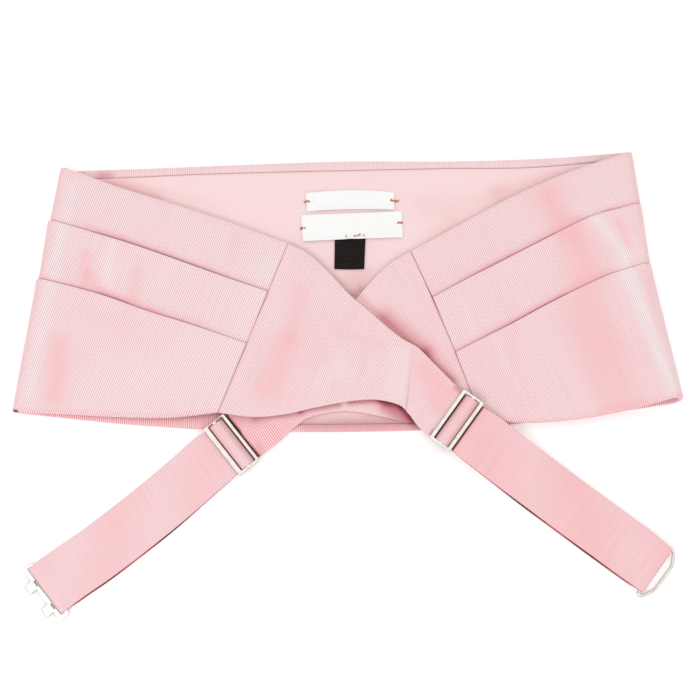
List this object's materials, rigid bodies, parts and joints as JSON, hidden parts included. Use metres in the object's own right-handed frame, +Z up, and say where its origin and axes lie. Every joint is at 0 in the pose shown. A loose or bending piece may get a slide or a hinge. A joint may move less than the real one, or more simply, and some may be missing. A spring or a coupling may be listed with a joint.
{
  "type": "cummerbund",
  "caption": "Pleated silk waist sash laid pleats down, both ends folded over the lining, its tapering yokes crossed, with adjustable straps, metal sliders, a hook plate and a wire eye.",
  "frame": {"origin": "the middle of the centre panel's flat underside, on the surface that the garment lies on", "axes": "+X along the garment towards the end whose strap carries the hook before crossing, +Y from the panel's lower edge to its upper edge, +Z up from the surface"},
  "size_m": [0.312, 0.2217, 0.0108],
  "materials": {
    "ribbed_silk": "pale pink ribbed silk with a soft sheen",
    "lining_silk": "smooth pale pink silk",
    "nickel": "bright warm nickel",
    "white_satin": "white satin, bare",
    "black_tape": "black woven tape, bare"
  },
  "bodies": {
    "root": {"pleated_panel": "ribbed_silk", "left_yoke": "ribbed_silk", "right_yoke": "ribbed_silk", "left_strap": "ribbed_silk", "right_strap": "ribbed_silk", "lining": "lining_silk", "left_slider": "nickel", "right_slider": "nickel", "hook_plate": "nickel", "wire_eye": "nickel", "upper_label": "white_satin", "main_label": "white_satin", "care_label": "black_tape"}
  },
  "joints": []
}
